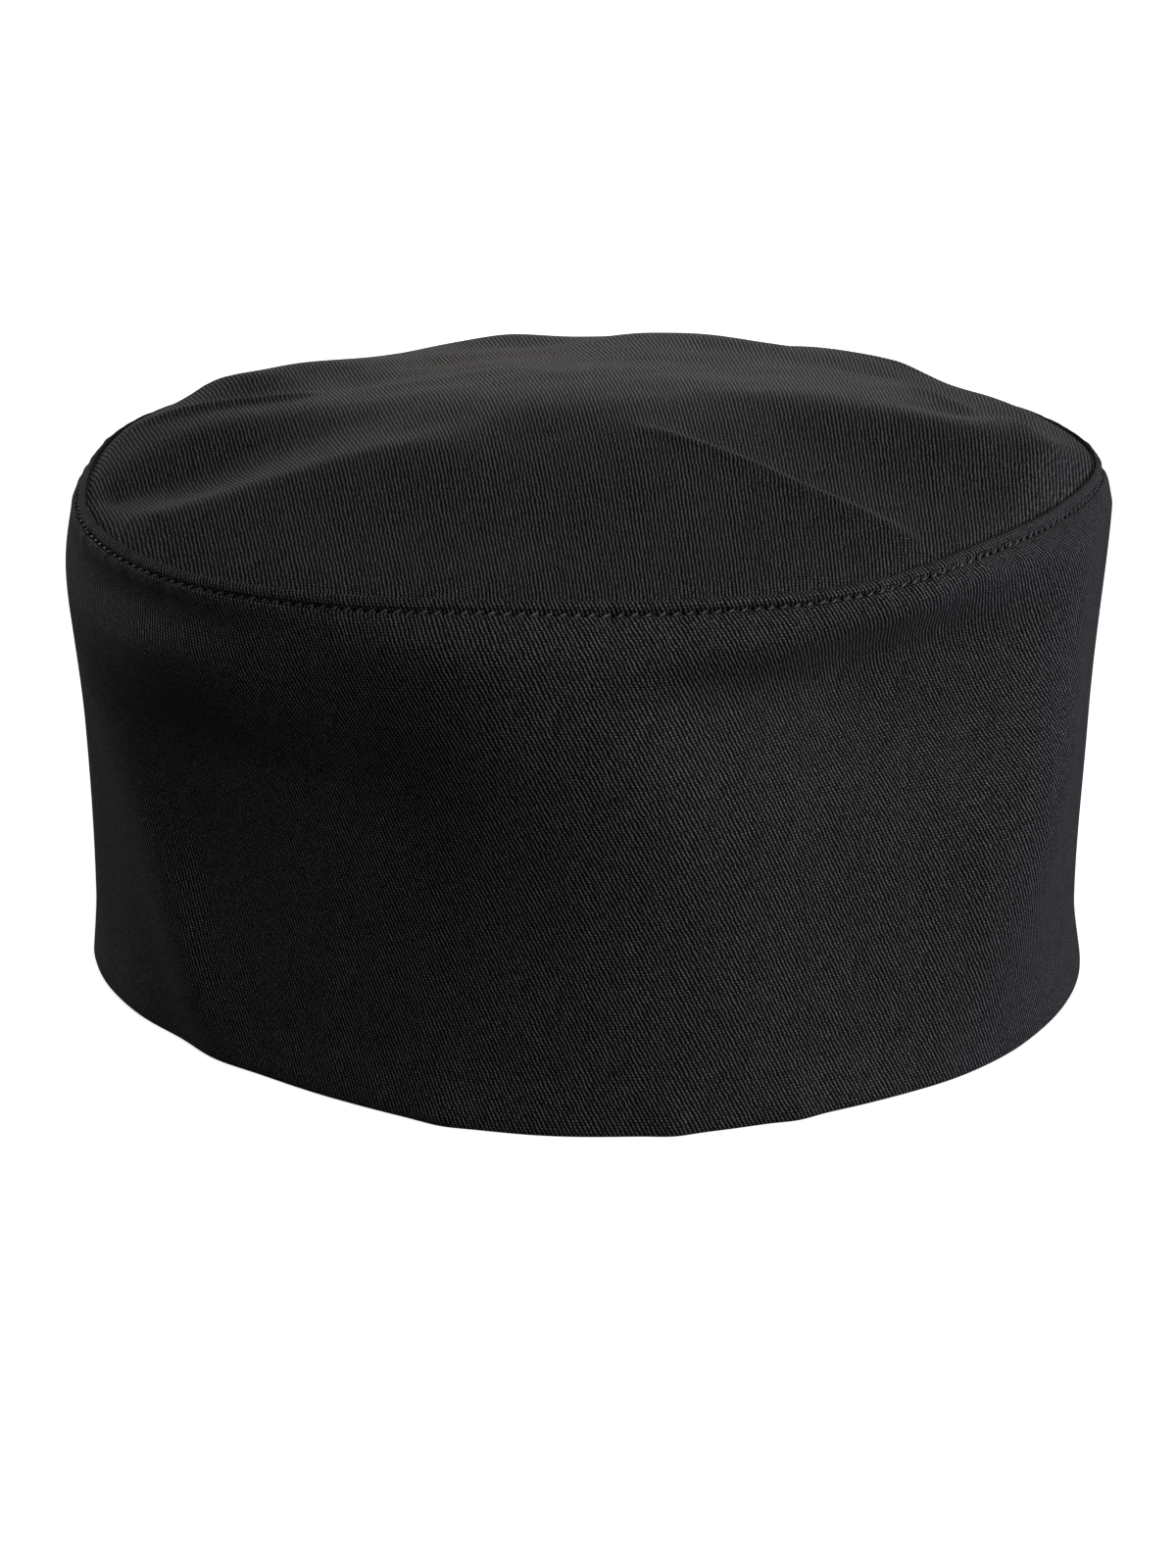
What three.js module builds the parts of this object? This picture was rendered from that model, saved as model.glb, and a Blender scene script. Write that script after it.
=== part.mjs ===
// Chef's skull cap in black cotton twill: a round top panel sewn into a doubled upright side band.
// Millimetres. Z is up, the front faces -Y, and the rim rests on Z = 0 with its centre at the origin.
// Azimuth runs in degrees from +X (the wearer's left) through +Y (the back).

import * as THREE from 'three';

// Driving dimensions
const headSize = 575; // length round the inside of the rim
const bandHeight = 95; // rim to seam, at its nominal height
const bandWall = 1.6; // two layers of twill
const hemWall = 2.4; // the doubled cloth where it folds at the rim
const panelWall = 1.1; // the single layer of the top
const bandRadius = headSize / (2 * Math.PI) + bandWall; // outside of the band, nominal

// Rows of numbers under named columns
const table = (columns, rows) => rows.map((row) => (
  Object.fromEntries(columns.split(' ').map((column, i) => [column, row[i]]))
));

// The band's section round the cap. Out is the distance outside the nominal radius: at the seam, at the
// roll of cloth just below it, half way down, at the waist and at the hem. Lift raises the seam above the
// nominal height. rollDrop is how far the roll lies below the seam, and shoulderDrop where it turns in.
const sections = table('azimuth seamOut seamLift rollOut rollDrop shoulderDrop midOut waistOut hemOut', [
  [0, 0.9, 1.3, 4.0, 8, 3.0, 0.5, -0.9, 0.5],
  [20, -0.3, 0.8, 3.5, 9, 3.0, 0.5, -0.6, 0.3],
  [40, -1.5, -0.4, 2.9, 10, 3.0, 0.7, -0.6, -0.1],
  [60, -1.3, -0.8, 3.4, 11, 3.0, 0.9, -0.6, -0.3],
  [80, -1.5, -1.2, 4.0, 12, 3.0, 0.9, -0.6, -0.5],
  [100, -1.5, -1.6, 4.3, 12, 3.0, 0.9, -0.6, -0.5],
  [120, -1.5, -1.8, 4.0, 12, 3.0, 0.9, -0.3, -0.1],
  [140, -0.8, -0.8, 3.6, 13, 3.0, 1.2, 0.1, 0.5],
  [160, -0.3, -0.2, 3.5, 14, 3.0, 1.7, 0.7, 1.1],
  [180, -0.9, -0.9, 3.7, 15, 3.0, 1.7, 0.7, 1.5],
  [200, 0.8, -1.8, 4.5, 17.4, 3.0, -0.1, -1.4, -0.9],
  [220, 0.5, -2.3, 4.0, 15.7, 2.6, -5.4, -4.7, -4.8],
  [240, -0.7, -0.8, 0.6, 12.9, 2.2, -4.6, -4.7, -3.2],
  [260, -1.2, 1.1, 0.2, 7.2, 1.6, -2.6, -0.8, 0.9],
  [280, -1.5, 1.0, -0.3, 7, 0.7, -0.1, 1.2, 1.7],
  [300, -1.9, 0.4, 0.6, 7.1, 1.2, -2.1, -1.3, 0.9],
  [320, -2.7, 2.2, 2.1, 5.5, 2.6, 1.1, 0.9, 1.4],
  [340, -2.1, 1.9, 2.5, 5.7, 3.0, 0.8, -0.5, 1.6],
]);

// Dents and soft folds of the band: where each lies, its half width in degrees and half height, how many
// degrees it leans for each millimetre up, and how far it stands out (or in, if negative).
const bandFolds = table('azimuth height halfWidth halfHeight lean out', [
  [221, 61, 15, 8, 0, -1.9], // big dent, left of the front
  [245.5, 59.5, 12.5, 13, 0.14, -1.7], // its inner end, beside the fold
  [261, 76, 14.5, 38.5, -0.04, 7.3], // broad upright fold that ends the dent
  [275, 68.5, 8.5, 22, -0.02, 2.9], // its wide right flank
  [195, 38.5, 7, 30, -0.14, -1.2], // hollow at the left side
  [215, 22.5, 6, 26, -0.29, 2.9], // slanting fold at the left side
  [214.5, 85, 16, 5, 0, -2.4], // crease under the seam, left
  [288, 87.5, 12, 6, 0, 3.8], // roll under the seam, right of the front
  [306, 90, 10, 5.5, 0, 2.4], // its right end
  [297, 77.5, 12, 6, 0, -1.1], // crease under that roll
  [313, 82, 8, 5.5, 0, -1], // the crease's right end
  [308.5, 74, 24.5, 16, -0.1, -8.1], // hollow below the crease
  [315, 73, 8, 6, 0, 0.9], // light fold at the right end of the hollow
  [329, 57, 9.5, 36.5, 0.18, 5.8], // wide upright fold on the right
]);

// Short kinks of the hem, each fading upwards
const hemKinks = table('azimuth halfWidth out', [
  [254, 3, 0.8],
  [279, 2.5, 0.9],
  [293, 2.5, 0.9],
]);

// Ridges and hollows of the top, each along a straight line from its rim side towards the crown, where it
// fades out. Its sides slope away over skirt, from a crest rounded over crest.
const panelFolds = table('fromX fromY toX toY skirt crest rise', [
  [-88, 16, -24, 16, 6, 2, 1.2], // crest, back left
  [-80, -46, -24, -37, 9, 4, 2.9], // crest, front left
  [55, -67, -2, -30, 3.5, 3, 1.3], // crest, front right
  [85, -28, 56, 38, 9, 5, 5.3], // crest, right
  [-71, 45, -46, 17, 4, 5, 1.8], // fold between the left crests
  [67, 61, 40, 65, 5, 3.5, 2.6], // hump at the back right
  [-17, 88, -14, 29, 18, 8, 4.4], // ridge from the back to the crown
  [68, -41, 41, -12, 6, 5, -1.2], // hollow, right
  [-85, -18, -46, -9, 8, 6, -3.4], // hollow, left
]);

// Slack and plateau of the top: millimetres added to the plain dome at a third, over half and most of
// the way from the middle to the edge
const panelSections = table('azimuth inner middle outer', [
  [0, 0.8, 2.4, -3.3],
  [20, 0.4, 1.0, -2.1],
  [40, 0.1, 0.8, 1.8],
  [60, 0.1, 0.5, 3.1],
  [80, 0.2, 0.3, 2.8],
  [100, -0.3, -2.3, -2.9],
  [120, -0.1, -1.7, -0.1],
  [140, -0.4, -1.0, 2.7],
  [160, -0.4, -1.1, -0.7],
  [180, 0.0, 0.0, 2.1],
  [200, 0.5, -0.6, -2.6],
  [220, 0.9, 0.9, 0.5],
  [240, 1.3, 2.6, -0.6],
  [260, 1.2, 0.5, -1.4],
  [280, 1.4, 2.1, -0.6],
  [300, 1.6, 1.0, 0.0],
  [320, 1.4, 1.2, -0.4],
  [340, 1.2, 3.4, 4.9],
]);
const panelReaches = { inner: 0.3, middle: 0.55, outer: 0.8 };
const panelSpread = 0.17;

// Heights and drops of the band's section
const hemEdge = 0.9; // height of the rounding under the hem
const hemRounding = 0.5; // how far the rounding draws the bottom edge in
const waistHeight = 13;
const shoulderShare = 0.55; // of the way from the seam out to the roll
const seamHold = 4.5; // the seam holds the cloth, so folds of the band die out over this height under it
const allowanceWall = 1.2; // thickness that the turned-down seam allowances add inside
const allowanceDrop = 9; // how far down they reach
const allowanceStep = 0.7; // height of their lower edge

// The seam between the panel's edge and the band's top edge
const seamGap = 0.3;
const seamDepth = 0.6; // how deep the groove of the seam is sunk
const ledgeDrop = seamDepth + panelWall + seamGap; // top of the allowances, under the panel's edge

// The dome of the top
const domeRise = 16.6; // seam to crown
const edgeRise = 1.3; // the part of it that rises in the soft roll at the edge
const edgeWidth = 4.7;
const crownX = 0;
const crownY = -11.5;
const domePower = 1.56;
const foldFade = 0.06; // share of the radius over which folds die out at the seam

// Fineness of the faceted solids
const azimuthSteps = 84;
const bandHeights = [6, 13, 22, 32, 42, 51, 59, 66, 73];
const rollDrops = [15, 11.5, 8.5, 6, 4, 2.4, 1.2];
const insideHeights = [76, 66, 55, 44, 33, 22, 11];
const panelRings = [0.1, 0.2, 0.3, 0.4, 0.5, 0.6, 0.7, 0.78, 0.85, 0.905, 0.945, 0.973];

const radians = (degrees) => (degrees * Math.PI) / 180;
const wrapped = (degrees) => ((((degrees + 180) % 360) + 360) % 360) - 180;

// One column of a section table at any azimuth, on a smooth closed curve through its rows
function sectionValue(column, azimuth, rows = sections) {
  const count = rows.length;
  const place = (((azimuth % 360) + 360) % 360) / (360 / count);
  const row = Math.floor(place);
  const t = place - row;
  const [a, b, c, d] = [-1, 0, 1, 2].map((step) => rows[(row + step + count) % count][column]);
  return b + 0.5 * t * (c - a + t * (2 * a - 5 * b + 4 * c - d + t * (3 * (b - c) + d - a)));
}

// A smooth curve through points given as [height, value], read at one height
function curveAt(points, height) {
  const last = points.length - 1;
  const slope = (i) => {
    const low = points[Math.max(i - 1, 0)];
    const high = points[Math.min(i + 1, last)];
    return (high[1] - low[1]) / (high[0] - low[0]);
  };
  let i = 0;
  while (i < last - 1 && height > points[i + 1][0]) i += 1;
  const [low, high] = [points[i], points[i + 1]];
  const span = high[0] - low[0];
  const t = THREE.MathUtils.clamp((height - low[0]) / span, 0, 1);
  const smooth = t * t * (3 - 2 * t);
  const bend = t * (1 - t) * span * ((1 - t) * slope(i) - t * slope(i + 1));
  return low[1] + (high[1] - low[1]) * smooth + bend;
}

const seamHeight = (azimuth) => bandHeight + sectionValue('seamLift', azimuth);
const seamRadius = (azimuth) => bandRadius + sectionValue('seamOut', azimuth);

// Outside radius of the band at an azimuth and a height
function outsideRadius(azimuth, height) {
  const top = seamHeight(azimuth);
  const seam = seamRadius(azimuth);
  const roll = bandRadius + sectionValue('rollOut', azimuth);
  let hem = bandRadius + sectionValue('hemOut', azimuth);
  for (const kink of hemKinks) {
    hem += kink.out * Math.exp(-((wrapped(azimuth - kink.azimuth) / kink.halfWidth) ** 2));
  }
  let radius = curveAt([
    [0, hem],
    [waistHeight, bandRadius + sectionValue('waistOut', azimuth)],
    [top / 2, bandRadius + sectionValue('midOut', azimuth)],
    [top - sectionValue('rollDrop', azimuth), roll],
    [top - sectionValue('shoulderDrop', azimuth), seam + (roll - seam) * shoulderShare],
    [top, seam],
  ], height);
  const held = 1 - Math.exp(-(((top - height) / seamHold) ** 2));
  for (const fold of bandFolds) {
    const across = wrapped(azimuth - fold.azimuth - fold.lean * (height - fold.height)) / fold.halfWidth;
    const along = (height - fold.height) / fold.halfHeight;
    radius += held * fold.out * Math.exp(-across * across - along * along);
  }
  return radius;
}

// Height of the top's upper face over a point seen from above
function panelHeight(x, y) {
  const azimuth = THREE.MathUtils.radToDeg(Math.atan2(y, x));
  const edge = seamRadius(azimuth);
  const reach = Math.min(Math.hypot(x, y) / edge, 1);
  const shift = 1 - reach * reach;
  const fromCrown = Math.min(Math.hypot(x - crownX * shift, y - crownY * shift) / edge, 1);
  let height = bandHeight + (seamHeight(azimuth) - bandHeight) * reach * reach;
  height += edgeRise * (1 - Math.exp(-(edge * (1 - reach)) / edgeWidth));
  height += (domeRise - edgeRise) * (1 - fromCrown ** domePower);
  for (const [column, place] of Object.entries(panelReaches)) {
    const added = sectionValue(column, azimuth, panelSections) * (1 - reach ** 8);
    height += added * Math.exp(-(((reach - place) / panelSpread) ** 2));
  }
  const fade = Math.min((1 - reach) / foldFade, 1);
  const point = new THREE.Vector2(x, y);
  for (const fold of panelFolds) {
    const start = new THREE.Vector2(fold.fromX, fold.fromY);
    const run = new THREE.Vector2(fold.toX, fold.toY).sub(start);
    const part = THREE.MathUtils.clamp(point.clone().sub(start).dot(run) / run.lengthSq(), 0, 1);
    const nearest = start.addScaledVector(run, part);
    const slope = (Math.hypot(nearest.distanceTo(point), fold.crest) - fold.crest) / fold.skirt;
    height += fade * fold.rise * (1 - part * part) * Math.exp(-slope);
  }
  return height;
}

// The band's closed section at one azimuth, as [radius, height] points: up the outside, down the inside
function bandSection(azimuth) {
  const top = seamHeight(azimuth);
  const seam = seamRadius(azimuth);
  const outside = (height) => outsideRadius(azimuth, height);
  const up = bandHeights.map((height) => [outside(height), height]);
  const roll = rollDrops.map((drop) => [outside(top - drop), top - drop]);
  const groove = [
    [seam + seamGap, top - seamDepth / 2],
    [seam + seamGap / 2, top - seamDepth],
    [seam + seamGap / 2, top - ledgeDrop],
  ];
  const allowances = [ledgeDrop, allowanceDrop / 2, allowanceDrop].map((drop) => [
    outside(top - drop) - bandWall - allowanceWall,
    top - drop,
  ]);
  const below = top - allowanceDrop - allowanceStep;
  const down = [below, ...insideHeights].map((height) => [outside(height) - bandWall, height]);
  const hem = [
    [outside(hemEdge) - hemWall, hemEdge],
    [outside(0) - hemWall + hemRounding, 0],
    [outside(0) - hemRounding, 0],
    [outside(hemEdge), hemEdge],
  ];
  return [...up, ...roll, ...groove, ...allowances, ...down, ...hem];
}

// The panel's section at one azimuth, from its crown over the edge and back underneath
function panelSection(azimuth) {
  const top = seamHeight(azimuth);
  const seam = seamRadius(azimuth);
  const angle = radians(azimuth);
  const over = panelRings.map((share) => {
    const radius = seam * share;
    return [radius, panelHeight(radius * Math.cos(angle), radius * Math.sin(angle))];
  });
  const under = over.map(([radius, height]) => [radius, height - panelWall]).reverse();
  const edge = [
    [seam - 2 * seamGap, top],
    [seam - seamGap / 2, top - seamDepth],
    [seam - seamGap / 2, top - seamDepth - panelWall],
  ];
  return [...over, ...edge, ...under];
}

// A solid swept round the Z axis through one section per azimuth. A closed section makes a ring, and one
// with poles is capped at the heights above and below its first and last points.
function sweptSolid(section, poles) {
  const rings = Array.from({ length: azimuthSteps }, (_, step) => {
    const azimuth = (360 / azimuthSteps) * step;
    return section(azimuth).map(([radius, height]) => [
      radius * Math.cos(radians(azimuth)),
      radius * Math.sin(radians(azimuth)),
      height,
    ]);
  });
  const count = rings[0].length;
  const positions = rings.flat(2);
  const index = [];
  const corner = (step, point) => (step % azimuthSteps) * count + (point % count);
  const spans = poles ? count - 1 : count;
  for (let step = 0; step < azimuthSteps; step += 1) {
    for (let point = 0; point < spans; point += 1) {
      const [a, b] = [corner(step, point), corner(step + 1, point)];
      const [c, d] = [corner(step + 1, point + 1), corner(step, point + 1)];
      if (poles) index.push(a, c, b, a, d, c);
      else index.push(a, b, c, a, c, d);
    }
  }
  if (poles) {
    const first = azimuthSteps * count;
    positions.push(0, 0, poles[0], 0, 0, poles[1]);
    for (let step = 0; step < azimuthSteps; step += 1) {
      index.push(first, corner(step, 0), corner(step + 1, 0));
      index.push(first + 1, corner(step + 1, count - 1), corner(step, count - 1));
    }
  }
  const geometry = new THREE.BufferGeometry();
  geometry.setAttribute('position', new THREE.Float32BufferAttribute(positions, 3));
  geometry.setIndex(index);
  geometry.computeVertexNormals();
  return geometry;
}

function cloth(name, colour) {
  return new THREE.MeshStandardMaterial({ name, color: colour, roughness: 0.85, metalness: 0 });
}

function sideBand() {
  const mesh = new THREE.Mesh(sweptSolid(bandSection), cloth('band_twill', 0x1c1c1e));
  mesh.name = 'side_band';
  return mesh;
}

function topPanel() {
  const crown = panelHeight(0, 0);
  const geometry = sweptSolid(panelSection, [crown, crown - panelWall]);
  const mesh = new THREE.Mesh(geometry, cloth('panel_twill', 0x222224));
  mesh.name = 'top_panel';
  return mesh;
}

const cap = new THREE.Group();
cap.name = 'skull_cap';
cap.add(sideBand(), topPanel());

export default cap;
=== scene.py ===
"""A chef's skull cap in black twill: a round top panel sewn into an upright doubled side band.

The forms below are worked out in millimetres from the same sizes and tables as the solids, and the
meshes are made in metres. Azimuth runs in degrees from +X (the wearer's left) through +Y (the back),
so the front is at 270.
"""

import math
from collections import namedtuple

import bpy
import numpy as np
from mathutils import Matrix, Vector


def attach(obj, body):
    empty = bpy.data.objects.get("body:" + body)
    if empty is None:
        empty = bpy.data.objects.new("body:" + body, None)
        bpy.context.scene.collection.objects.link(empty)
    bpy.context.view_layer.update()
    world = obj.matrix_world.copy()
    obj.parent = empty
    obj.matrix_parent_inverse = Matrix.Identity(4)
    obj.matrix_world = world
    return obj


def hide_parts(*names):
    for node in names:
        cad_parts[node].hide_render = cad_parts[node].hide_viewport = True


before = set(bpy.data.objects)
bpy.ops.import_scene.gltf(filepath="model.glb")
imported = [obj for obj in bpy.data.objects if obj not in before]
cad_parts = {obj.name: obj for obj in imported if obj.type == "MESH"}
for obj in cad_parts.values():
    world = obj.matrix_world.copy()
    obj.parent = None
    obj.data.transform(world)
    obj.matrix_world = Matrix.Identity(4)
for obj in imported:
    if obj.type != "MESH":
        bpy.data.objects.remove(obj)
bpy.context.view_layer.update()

MM = 0.001  # metres in a millimetre
BACK = 90  # azimuth of the centre back, in degrees

# Driving dimensions, in millimetres
HEAD_SIZE = 575  # length round the inside of the rim
BAND_HEIGHT = 95
BAND_WALL = 1.6
HEM_WALL = 2.4
PANEL_WALL = 1.1
BAND_RADIUS = HEAD_SIZE / (2 * math.pi) + BAND_WALL  # of the band's outside

# The band's section round the cap. Out is the distance outside the nominal radius: at the seam, at the
# roll just below it, half way down, at the waist and at the hem. Lift raises the seam, roll_drop is how
# far the roll lies below it, and shoulder_drop where the roll turns in.
Section = namedtuple(
    "Section", "azimuth seam_out seam_lift roll_out roll_drop shoulder_drop mid_out waist_out hem_out"
)
SECTIONS = [
    Section(0, 0.9, 1.3, 4.0, 8, 3.0, 0.5, -0.9, 0.5),
    Section(20, -0.3, 0.8, 3.5, 9, 3.0, 0.5, -0.6, 0.3),
    Section(40, -1.5, -0.4, 2.9, 10, 3.0, 0.7, -0.6, -0.1),
    Section(60, -1.3, -0.8, 3.4, 11, 3.0, 0.9, -0.6, -0.3),
    Section(80, -1.5, -1.2, 4.0, 12, 3.0, 0.9, -0.6, -0.5),
    Section(100, -1.5, -1.6, 4.3, 12, 3.0, 0.9, -0.6, -0.5),
    Section(120, -1.5, -1.8, 4.0, 12, 3.0, 0.9, -0.3, -0.1),
    Section(140, -0.8, -0.8, 3.6, 13, 3.0, 1.2, 0.1, 0.5),
    Section(160, -0.3, -0.2, 3.5, 14, 3.0, 1.7, 0.7, 1.1),
    Section(180, -0.9, -0.9, 3.7, 15, 3.0, 1.7, 0.7, 1.5),
    Section(200, 0.8, -1.8, 4.5, 17.4, 3.0, -0.1, -1.4, -0.9),
    Section(220, 0.5, -2.3, 4.0, 15.7, 2.6, -5.4, -4.7, -4.8),
    Section(240, -0.7, -0.8, 0.6, 12.9, 2.2, -4.6, -4.7, -3.2),
    Section(260, -1.2, 1.1, 0.2, 7.2, 1.6, -2.6, -0.8, 0.9),
    Section(280, -1.5, 1.0, -0.3, 7, 0.7, -0.1, 1.2, 1.7),
    Section(300, -1.9, 0.4, 0.6, 7.1, 1.2, -2.1, -1.3, 0.9),
    Section(320, -2.7, 2.2, 2.1, 5.5, 2.6, 1.1, 0.9, 1.4),
    Section(340, -2.1, 1.9, 2.5, 5.7, 3.0, 0.8, -0.5, 1.6),
]

# Dents and soft folds of the band. lean is in degrees for each millimetre up.
BandFold = namedtuple("BandFold", "azimuth height half_width half_height lean out")
BAND_FOLDS = [
    BandFold(221, 61, 15, 8, 0, -1.9),  # big dent, left of the front
    BandFold(245.5, 59.5, 12.5, 13, 0.14, -1.7),  # its inner end, beside the fold
    BandFold(261, 76, 14.5, 38.5, -0.04, 7.3),  # broad upright fold that ends the dent
    BandFold(275, 68.5, 8.5, 22, -0.02, 2.9),  # its wide right flank
    BandFold(195, 38.5, 7, 30, -0.14, -1.2),  # hollow at the left side
    BandFold(215, 22.5, 6, 26, -0.29, 2.9),  # slanting fold at the left side
    BandFold(214.5, 85, 16, 5, 0, -2.4),  # crease under the seam, left
    BandFold(288, 87.5, 12, 6, 0, 3.8),  # roll under the seam, right of the front
    BandFold(306, 90, 10, 5.5, 0, 2.4),  # its right end
    BandFold(297, 77.5, 12, 6, 0, -1.1),  # crease under that roll
    BandFold(313, 82, 8, 5.5, 0, -1),  # the crease's right end
    BandFold(308.5, 74, 24.5, 16, -0.1, -8.1),  # hollow below the crease
    BandFold(315, 73, 8, 6, 0, 0.9),  # light fold at the right end of the hollow
    BandFold(329, 57, 9.5, 36.5, 0.18, 5.8),  # wide upright fold on the right
]

# Short kinks of the hem
HemKink = namedtuple("HemKink", "azimuth half_width out")
HEM_KINKS = [
    HemKink(254, 3, 0.8),
    HemKink(279, 2.5, 0.9),
    HemKink(293, 2.5, 0.9),
]

# Ridges and hollows of the top, each along a straight line from its rim side towards the crown. Its
# sides slope away over skirt, from a crest rounded over crest.
PanelFold = namedtuple("PanelFold", "from_x from_y to_x to_y skirt crest rise")
PANEL_FOLDS = [
    PanelFold(-88, 16, -24, 16, 6, 2, 1.2),  # crest, back left
    PanelFold(-80, -46, -24, -37, 9, 4, 2.9),  # crest, front left
    PanelFold(55, -67, -2, -30, 3.5, 3, 1.3),  # crest, front right
    PanelFold(85, -28, 56, 38, 9, 5, 5.3),  # crest, right
    PanelFold(-71, 45, -46, 17, 4, 5, 1.8),  # fold between the left crests
    PanelFold(67, 61, 40, 65, 5, 3.5, 2.6),  # hump at the back right
    PanelFold(-17, 88, -14, 29, 18, 8, 4.4),  # ridge from the back to the crown
    PanelFold(68, -41, 41, -12, 6, 5, -1.2),  # hollow, right
    PanelFold(-85, -18, -46, -9, 8, 6, -3.4),  # hollow, left
]

# Fine creases of the top, which sharpen three of its crests
PanelCrease = namedtuple("PanelCrease", "from_x from_y to_x to_y half_width rise")
PANEL_CREASES = [
    PanelCrease(58, -66, 8, -36, 2, 1),  # along the front right crest
    PanelCrease(-86, 16, -50, 16, 2.4, 1),  # along the back left crest
    PanelCrease(80, -18, 60, 28, 2.4, 0.9),  # along the right crest
]

# Slack and plateau of the top: millimetres added to the plain dome at a third, over half and most of
# the way from the middle to the edge
PanelSection = namedtuple("PanelSection", "azimuth inner middle outer")
PANEL_SECTIONS = [
    PanelSection(0, 0.8, 2.4, -3.3),
    PanelSection(20, 0.4, 1.0, -2.1),
    PanelSection(40, 0.1, 0.8, 1.8),
    PanelSection(60, 0.1, 0.5, 3.1),
    PanelSection(80, 0.2, 0.3, 2.8),
    PanelSection(100, -0.3, -2.3, -2.9),
    PanelSection(120, -0.1, -1.7, -0.1),
    PanelSection(140, -0.4, -1.0, 2.7),
    PanelSection(160, -0.4, -1.1, -0.7),
    PanelSection(180, 0.0, 0.0, 2.1),
    PanelSection(200, 0.5, -0.6, -2.6),
    PanelSection(220, 0.9, 0.9, 0.5),
    PanelSection(240, 1.3, 2.6, -0.6),
    PanelSection(260, 1.2, 0.5, -1.4),
    PanelSection(280, 1.4, 2.1, -0.6),
    PanelSection(300, 1.6, 1.0, 0.0),
    PanelSection(320, 1.4, 1.2, -0.4),
    PanelSection(340, 1.2, 3.4, 4.9),
]
PANEL_REACHES = [0.3, 0.55, 0.8]  # where the three columns lie
PANEL_SPREAD = 0.17  # and how far each is felt on both sides
SLACK_POWER = 8  # how late the slack fades towards the edge

# The band's curve from its hem to its seam
WAIST_HEIGHT = 13
SHOULDER_SHARE = 0.55  # of the way from the seam out to the roll
SEAM_HOLD = 4.5  # the seam holds the cloth, so folds of the band die out over this height under it

# The top's plain dome
DOME_RISE = 16.6  # of the crown over the seam
DOME_POWER = 1.56  # 1 is a cone, and a higher number is flatter on top
CROWN = (0, -11.5)  # the highest point, a little in front of the middle
EDGE_RISE = 1.3  # the part of the rise that comes at once, inside the seam
EDGE_WIDTH = 4.7
FOLD_FADE = 0.06  # folds fade over this share of the way in from the edge
RELIEF_FADE = 0.03  # and the fine creases and waves over this one

# The seam's groove in the band's top edge, and the top's edge in it
SEAM_GAP = 0.2
GROOVE_DEPTH = 1.2
SIDE_SINK = 0.9  # how much deeper the top's edge lies in the seam at the sides than in front
SINK_WIDTH = 1.5  # how far in from the seam the top turns down to it
PANEL_EDGE = [(0.08, 0.2), (0.08, 0.6), (0.1, 1.0), (0.5, GROOVE_DEPTH)]  # in from the seam, and down

# The band's inside: the turned-down seam allowances are a thicker strip below its top edge
ALLOWANCE_WALL = 1.2
ALLOWANCE_DROP = 9
ALLOWANCE_STEP = 0.6  # height over which the wall gets thicker
ALLOWANCE_ROWS = (ALLOWANCE_DROP, ALLOWANCE_DROP - 0.4, 7, 5, 3.8, 2.8)  # down from the seam
INSIDE_START = 6  # height of the lowest row inside

# The groove's rows, each so far in from the seam and so far down from the groove's depth or the seam's top
GROOVE_FLOOR = [(BAND_WALL + ALLOWANCE_WALL, 0.3), (0.5, 0.1), (0.02, 0)]
GROOVE_SIDE = [(0.02, 0.6), (0.04, 0.2)]

# The topstitching
STITCH_ROW = 2.4  # from the seam, along the cloth
STITCH_COUNT = 245
STITCH_PITCH = 2.44
STITCH_LENGTH = 1.35
STITCH_SLANT = 0.3  # how far each stitch runs off the row at its ends
STITCH_HOLE = 0.8  # how much deeper the cloth lies where the thread goes in
HOLE_LENGTH = 0.16  # of the way from one stitch to the next
HOLE_WIDTH = 0.4
THREAD_RADIUS = 0.16
THREAD_RISE = 0.24  # of the thread's middle over the cloth
THREAD_DIVE = 0.6  # how much lower its ends are

# Swells of the cloth, each at a distance from the seam or the join
Swell = namedtuple("Swell", "rise place width")
SEAM_SWELLS = [
    Swell(0.4, 0.7, 0.6),  # narrow ridge beside the seam
    Swell(0.24, 1.5, 0.5),  # its outer slope
    Swell(-0.75, STITCH_ROW, 0.36),  # sunk row of the stitches
    Swell(0.15, 4.6, 1.3),  # swell below them
]
JOIN_SWELLS = [
    Swell(0.15, 1.6, 1.1),  # low edges of the join
    Swell(-0.6, 0, 0.4),  # groove between them
]

# Waves round the cap, each a count round it, a phase in radians and a size
Wave = namedtuple("Wave", "count phase size")
PUCKER_WAVES = [Wave(67, 0.3, 0.5), Wave(101, 1.7, 0.4), Wave(43, 2.1, 0.4), Wave(157, 0.9, 0.25)]
PUCKER_RISE = 0.16
PUCKER_PLACE = 3.2  # from the seam, and as wide
SLACK_WAVES = [Wave(9, 0.4, 0.08), Wave(23, 2.2, 0.04)]
SLACK_LEAN = 0.15  # degrees for each millimetre down
CROSSING_WAVES = [Wave(14, 1.1, 0.06), Wave(31, 0.2, 0.03)]
CROSSING_LEAN = -0.2
SLACK_START = 12  # the slack grows to its full size over this distance from the seam

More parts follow.
